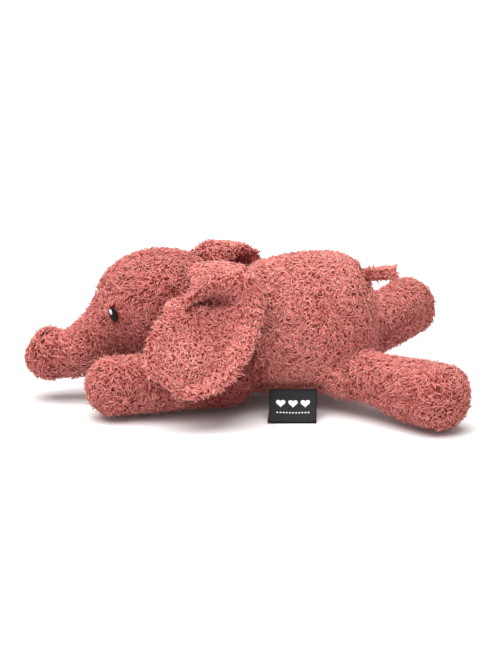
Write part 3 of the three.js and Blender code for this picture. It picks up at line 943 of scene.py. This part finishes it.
def add_sun(name, direction, spread, strength):
    light = bpy.data.objects.new(name, bpy.data.lights.new(name, "SUN"))
    light.data.energy = strength
    light.data.angle = math.radians(spread)
    light.rotation_euler = Vector(direction).to_track_quat("-Z", "Y").to_euler()
    bpy.context.scene.collection.objects.link(light)


def add_studio():
    world = bpy.data.worlds.new("studio")
    world.use_nodes = True
    background = world.node_tree.nodes["Background"]
    background.inputs["Color"].default_value = (1, 1, 1, 1)
    background.inputs["Strength"].default_value = SKY_STRENGTH
    bpy.context.scene.world = world
    add_sun("overhead_softbox", (0.15, 0.25, -1), 60, 3.5)
    add_sun("front_softbox", (0.35, 1, -0.75), 45, 0.6)

    floor_mesh = bpy.data.meshes.new("studio_floor")
    corners = [(x * FLOOR_HALF, y * FLOOR_HALF, 0) for x, y in ((-1, -1), (1, -1), (1, 1), (-1, 1))]
    floor_mesh.from_pydata(corners, [], [(0, 1, 2, 3)])
    floor = new_object("studio_floor", floor_mesh)
    paint = NodeMaterial("studio_white")
    set_sockets(paint.shader, Roughness=0.9, Specular_IOR_Level=0.1)
    paint.shader.inputs["Base Color"].default_value = (FLOOR_WHITE, FLOOR_WHITE, FLOOR_WHITE, 1)
    floor_mesh.materials.append(paint.material)
    bpy.context.scene.view_settings.view_transform = "Standard"


# ---- The toy -------------------------------------------------------------------------------------

TRUNK_END = np.array([-45, 0, -24.5]) * MM      # the fat end of the trunk, from its hinge
TRUNK_END_RADIUS = 16.5 * MM
TRUNK_DEPTH = 2.6 * MM        # the backing lies less deep here than elsewhere

# How each body's backing is made. Sockets are joints, each with the radius in mm of the ball that
# fills out the skin there.
# Light is the painted shade of a body's pile, in tints.
BODIES = {
    "torso": {
        "panels": ["body_panel_left", "body_panel_right", "belly_panel"],
        "stuffing": "body_stuffing",
        "sockets": [("hind_leg_left_swing", 22.5), ("hind_leg_right_swing", 22.5),
                    ("front_leg_left_swing", 22), ("front_leg_right_swing", 22), ("neck_nod", 26)],
        "tucked": True,
        "halved": True,
    },
    "head": {
        "panels": ["head_panel_left", "head_panel_right", "head_gusset", "chin_panel"],
        "stuffing": "head_stuffing",
        "sockets": [("trunk_lift", 22)],
        "light": PAINTED_LIMB_SHADE,
    },
    "trunk": {
        "panels": ["trunk_panel_left", "trunk_panel_right", "trunk_nostril_disc"],
        "stuffing": "trunk_stuffing",
        "plump": [(pivot_of("trunk_lift") + TRUNK_END, TRUNK_END_RADIUS)],
        "depth": TRUNK_DEPTH,
        "light": PAINTED_LIMB_SHADE,
    },
    "ear_left": {"panels": ["ear_left_outer", "ear_left_lining"], "thin": True},
    "ear_right": {"panels": ["ear_right_outer", "ear_right_lining"], "thin": True},
    "tail": {"panels": ["tail_upper", "tail_under"], "thin": True},
}
for leg in ("front_leg_left", "front_leg_right", "hind_leg_left", "hind_leg_right"):
    BODIES[leg] = {
        "panels": [f"{leg}_upper_panel", f"{leg}_under_panel", f"{leg}_sole"],
        "stuffing": f"{leg}_stuffing",
        "tucked": leg.startswith("hind"),
        "light": PAINTED_LIMB_SHADE,
    }

# Bodies whose pile flows from one to the other without a crevice between them, so no painted crevice
# shade is put between them.
FLOWING = [("head", "trunk"), ("torso", "hind_leg_left"), ("torso", "hind_leg_right")]


def build_fabric(eyes, rng):
    """All the pile-covered pieces of the toy."""
    materials = pile_materials()
    backings = {
        body: make_backing(body, plan, eyes if body == "head" else [])
        for body, plan in BODIES.items()
    }
    shape_ear(backings["ear_left"], "ear_left_flap", -1)
    shape_ear(backings["ear_right"], "ear_right_flap", 1)
    skins = {
        body: ClosedSkin(body, backing["piece"].data, BODIES[body].get("thin", False))
        for body, backing in backings.items()
    }
    for body, backing in backings.items():
        neighbours = [skin for other, skin in skins.items() if other != body]
        flowing = [other for pair in FLOWING if body in pair for other in pair]
        pieces = grow_pile(body, backing, neighbours, flowing, eyes if body == "head" else [], rng)
        for piece in pieces:
            for material in materials:
                piece.data.materials.append(material)
        if "stuffing" in BODIES[body]:
            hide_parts(BODIES[body]["stuffing"])


add_camera()
add_studio()
rng = np.random.default_rng(SEED)
build_fabric(build_eyes(rng), rng)
build_label()
